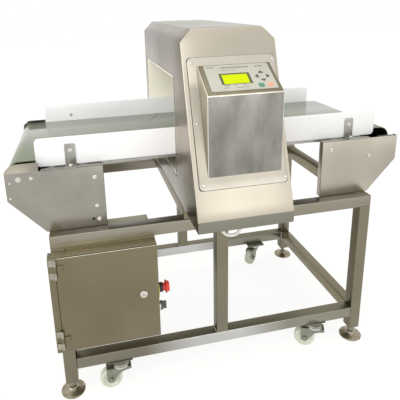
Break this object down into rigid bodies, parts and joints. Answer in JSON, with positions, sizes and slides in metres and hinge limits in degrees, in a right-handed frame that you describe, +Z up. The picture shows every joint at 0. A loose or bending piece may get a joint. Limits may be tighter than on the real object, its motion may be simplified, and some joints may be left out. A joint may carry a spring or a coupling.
{
  "type": "conveyor metal detector",
  "caption": "Belt conveyor running through a search-head tunnel with a slanted operator console, on a castored square-tube stand with a control cabinet.",
  "frame": {"origin": "centre of the whole machine's bounding box, on the floor under the levelling feet", "axes": "+X along the belt from the cabinet end to the far end, +Y from the operator side to the back, +Z up"},
  "size_m": [1.214, 0.7903, 1.103],
  "materials": {
    "stainless_frame": "satin brushed stainless tube",
    "stainless_sheet": "fine brushed stainless sheet",
    "head_sheet": "bead-blasted stainless sheet",
    "console_sheet": "brushed stainless sheet with hand marks",
    "polished_steel": "polished stainless",
    "zinc": "zinc plated pressed steel",
    "wheel_nylon": "white nylon",
    "guide_plastic": "white high-density polyethylene",
    "belt_pvc": "green smooth PVC conveyor belt",
    "liner": "beige glass-fibre liner",
    "copper_coil": "potted copper winding",
    "seal_rubber": "black foam rubber",
    "keypad_film": "printed polyester film",
    "lcd": "lit yellow-green display",
    "arrow_key": "black key",
    "green_key": "green key",
    "red_key": "orange-red key",
    "circuit_board": "solder-masked glass epoxy",
    "red_button": "red moulded plastic",
    "black_plastic": "black moulded plastic",
    "drive_case": "dark grey moulded case",
    "motor_paint": "blue-grey enamel",
    "drum_steel": "turned stainless",
    "pulley": "machined aluminium",
    "strap_rubber": "black toothed belt",
    "cable_white": "white PVC sheath"
  },
  "bodies": {
    "machine": {"stand_legs": "stainless_frame", "stand_top_frame": "stainless_frame", "stand_bottom_rails": "stainless_frame", "levelling_feet": "polished_steel", "head_beams": "stainless_frame", "caster_heads": "zinc", "cabinet_shell": "stainless_sheet", "cabinet_seal": "seal_rubber", "cabinet_hinges": "zinc", "cabinet_back_plate": "zinc", "speed_drive": "drive_case", "terminals": "black_plastic", "estop_base": "black_plastic", "selector_base": "polished_steel", "head_housing": "head_sheet", "tunnel_liner": "liner", "search_coils": "copper_coil", "head_cable": "cable_white", "console_seal": "seal_rubber", "console_plate": "head_sheet", "console_screws": "polished_steel", "console_box": "console_sheet", "keypad_overlay": "keypad_film", "lcd_module": "lcd", "control_board": "circuit_board", "side_rails": "stainless_sheet", "slider_bed": "stainless_sheet", "belt": "belt_pvc", "drum_bearings": "drive_case", "gear_motor": "motor_paint", "drive_strap": "strap_rubber", "guide_boards": "guide_plastic", "guide_brackets": "stainless_sheet", "hex_fasteners": "polished_steel", "cheek_angles": "stainless_frame", "cheek_front_left": "stainless_sheet", "cheek_front_right": "stainless_sheet", "cheek_back_left": "stainless_sheet", "cheek_back_right": "stainless_sheet"},
    "door": {"cabinet_door": "stainless_sheet"},
    "lock": {"cabinet_lock": "polished_steel"},
    "estop": {"estop_button": "red_button"},
    "selector": {"selector_knob": "black_plastic"},
    "key_up_cap": {"key_up": "arrow_key"},
    "key_left_cap": {"key_left": "arrow_key"},
    "key_right_cap": {"key_right": "arrow_key"},
    "key_down_cap": {"key_down": "arrow_key"},
    "key_confirm_cap": {"key_confirm": "green_key"},
    "key_reset_cap": {"key_reset": "red_key"},
    "fork_front_left": {"caster_fork_front_left": "zinc"},
    "wheel_front_left": {"caster_wheel_front_left": "wheel_nylon"},
    "fork_front_right": {"caster_fork_front_right": "zinc"},
    "wheel_front_right": {"caster_wheel_front_right": "wheel_nylon"},
    "fork_back_left": {"caster_fork_back_left": "zinc"},
    "wheel_back_left": {"caster_wheel_back_left": "wheel_nylon"},
    "fork_back_right": {"caster_fork_back_right": "zinc"},
    "wheel_back_right": {"caster_wheel_back_right": "wheel_nylon"},
    "drive_drum_body": {"drive_drum": "drum_steel"},
    "idler_drum_body": {"idler_drum": "drum_steel"},
    "motor_pulley_body": {"motor_pulley": "pulley"}
  },
  "joints": [
    {"name": "cabinet_door_swing", "type": "hinge", "parent": "machine", "child": "door", "pos_m": [-0.4955, -0.25205, 0.349], "axis": [0, 0, -1], "range_deg": [0, 110]},
    {"name": "cabinet_lock_turn", "type": "hinge", "parent": "door", "child": "lock", "pos_m": [-0.2546, -0.24725, 0.348], "axis": [0, 1, 0], "range_deg": [-90, 0]},
    {"name": "estop_press", "type": "slide", "parent": "machine", "child": "estop", "axis": [-1, 0, 0], "range_m": [0, 0.006], "stiffness_N_per_m": 800},
    {"name": "selector_turn", "type": "hinge", "parent": "machine", "child": "selector", "pos_m": [-0.209, -0.20725, 0.27], "axis": [1, 0, 0], "range_deg": [-45, 45]},
    {"name": "key_up_press", "type": "slide", "parent": "machine", "child": "key_up_cap", "axis": [0, 0.5366, -0.8438], "range_m": [0, 0.0006], "stiffness_N_per_m": 2500},
    {"name": "key_left_press", "type": "slide", "parent": "machine", "child": "key_left_cap", "axis": [0, 0.5366, -0.8438], "range_m": [0, 0.0006], "stiffness_N_per_m": 2500},
    {"name": "key_right_press", "type": "slide", "parent": "machine", "child": "key_right_cap", "axis": [0, 0.5366, -0.8438], "range_m": [0, 0.0006], "stiffness_N_per_m": 2500},
    {"name": "key_down_press", "type": "slide", "parent": "machine", "child": "key_down_cap", "axis": [0, 0.5366, -0.8438], "range_m": [0, 0.0006], "stiffness_N_per_m": 2500},
    {"name": "key_confirm_press", "type": "slide", "parent": "machine", "child": "key_confirm_cap", "axis": [0, 0.5366, -0.8438], "range_m": [0, 0.0006], "stiffness_N_per_m": 2500},
    {"name": "key_reset_press", "type": "slide", "parent": "machine", "child": "key_reset_cap", "axis": [0, 0.5366, -0.8438], "range_m": [0, 0.0006], "stiffness_N_per_m": 2500},
    {"name": "caster_swivel_front_left", "type": "hinge", "parent": "machine", "child": "fork_front_left", "pos_m": [-0.335, -0.20325, 0.07], "axis": [0, 0, 1], "continuous": true},
    {"name": "caster_roll_front_left", "type": "hinge", "parent": "fork_front_left", "child": "wheel_front_left", "pos_m": [-0.367, -0.20325, 0.037], "axis": [0, 1, 0], "continuous": true},
    {"name": "caster_swivel_front_right", "type": "hinge", "parent": "machine", "child": "fork_front_right", "pos_m": [0.335, -0.20325, 0.07], "axis": [0, 0, 1], "continuous": true},
    {"name": "caster_roll_front_right", "type": "hinge", "parent": "fork_front_right", "child": "wheel_front_right", "pos_m": [0.30577, -0.19023, 0.037], "axis": [0.4067, 0.9135, 0], "continuous": true},
    {"name": "caster_swivel_back_left", "type": "hinge", "parent": "machine", "child": "fork_back_left", "pos_m": [-0.335, 0.34475, 0.07], "axis": [0, 0, 1], "continuous": true},
    {"name": "caster_roll_back_left", "type": "hinge", "parent": "fork_back_left", "child": "wheel_back_left", "pos_m": [-0.36121, 0.3264, 0.037], "axis": [-0.5736, 0.8192, 0], "continuous": true},
    {"name": "caster_swivel_back_right", "type": "hinge", "parent": "machine", "child": "fork_back_right", "pos_m": [0.335, 0.34475, 0.07], "axis": [0, 0, 1], "continuous": true},
    {"name": "caster_roll_back_right", "type": "hinge", "parent": "fork_back_right", "child": "wheel_back_right", "pos_m": [0.31049, 0.32418, 0.037], "axis": [-0.6428, 0.766, 0], "continuous": true},
    {"name": "drive_drum_spin", "type": "hinge", "parent": "machine", "child": "drive_drum_body", "pos_m": [-0.571, 0.08375, 0.72], "axis": [0, 1, 0], "continuous": true},
    {"name": "idler_drum_spin", "type": "hinge", "parent": "machine", "child": "idler_drum_body", "pos_m": [0.571, 0.08375, 0.72], "axis": [0, 1, 0], "continuous": true},
    {"name": "motor_pulley_spin", "type": "hinge", "parent": "machine", "child": "motor_pulley_body", "pos_m": [-0.44, -0.13, 0.599], "axis": [0, 1, 0], "continuous": true}
  ],
  "couplings": [
    {"joint": "idler_drum_spin", "follows": "drive_drum_spin", "ratio": 1},
    {"joint": "motor_pulley_spin", "follows": "drive_drum_spin", "ratio": 1.3}
  ]
}
